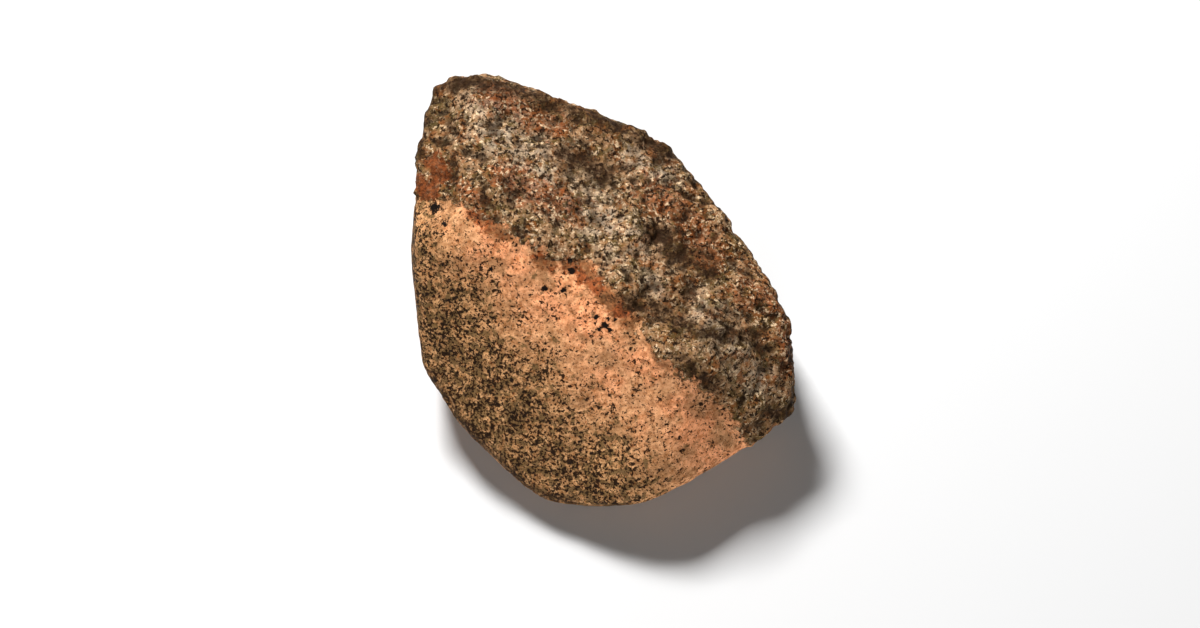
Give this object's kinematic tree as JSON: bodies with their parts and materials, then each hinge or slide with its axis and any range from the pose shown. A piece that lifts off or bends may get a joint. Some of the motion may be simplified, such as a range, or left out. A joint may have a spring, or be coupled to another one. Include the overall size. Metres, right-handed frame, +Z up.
{
  "type": "meteorite",
  "caption": "Palm-sized stone of speckled pink rock with a dark weathered crust over its broken upper face, lying on a small flat.",
  "frame": {"origin": "middle of the box that holds the stone, at the height of the ground it lies on", "axes": "+Z up, +X to the right of the show face, -Y towards its low edge"},
  "size_m": [0.0954, 0.1039, 0.0609],
  "materials": {
    "speckled_rock": "rough speckled rock, matt, under a dark weathered crust"
  },
  "bodies": {
    "root": {"stone": "speckled_rock"}
  },
  "joints": []
}
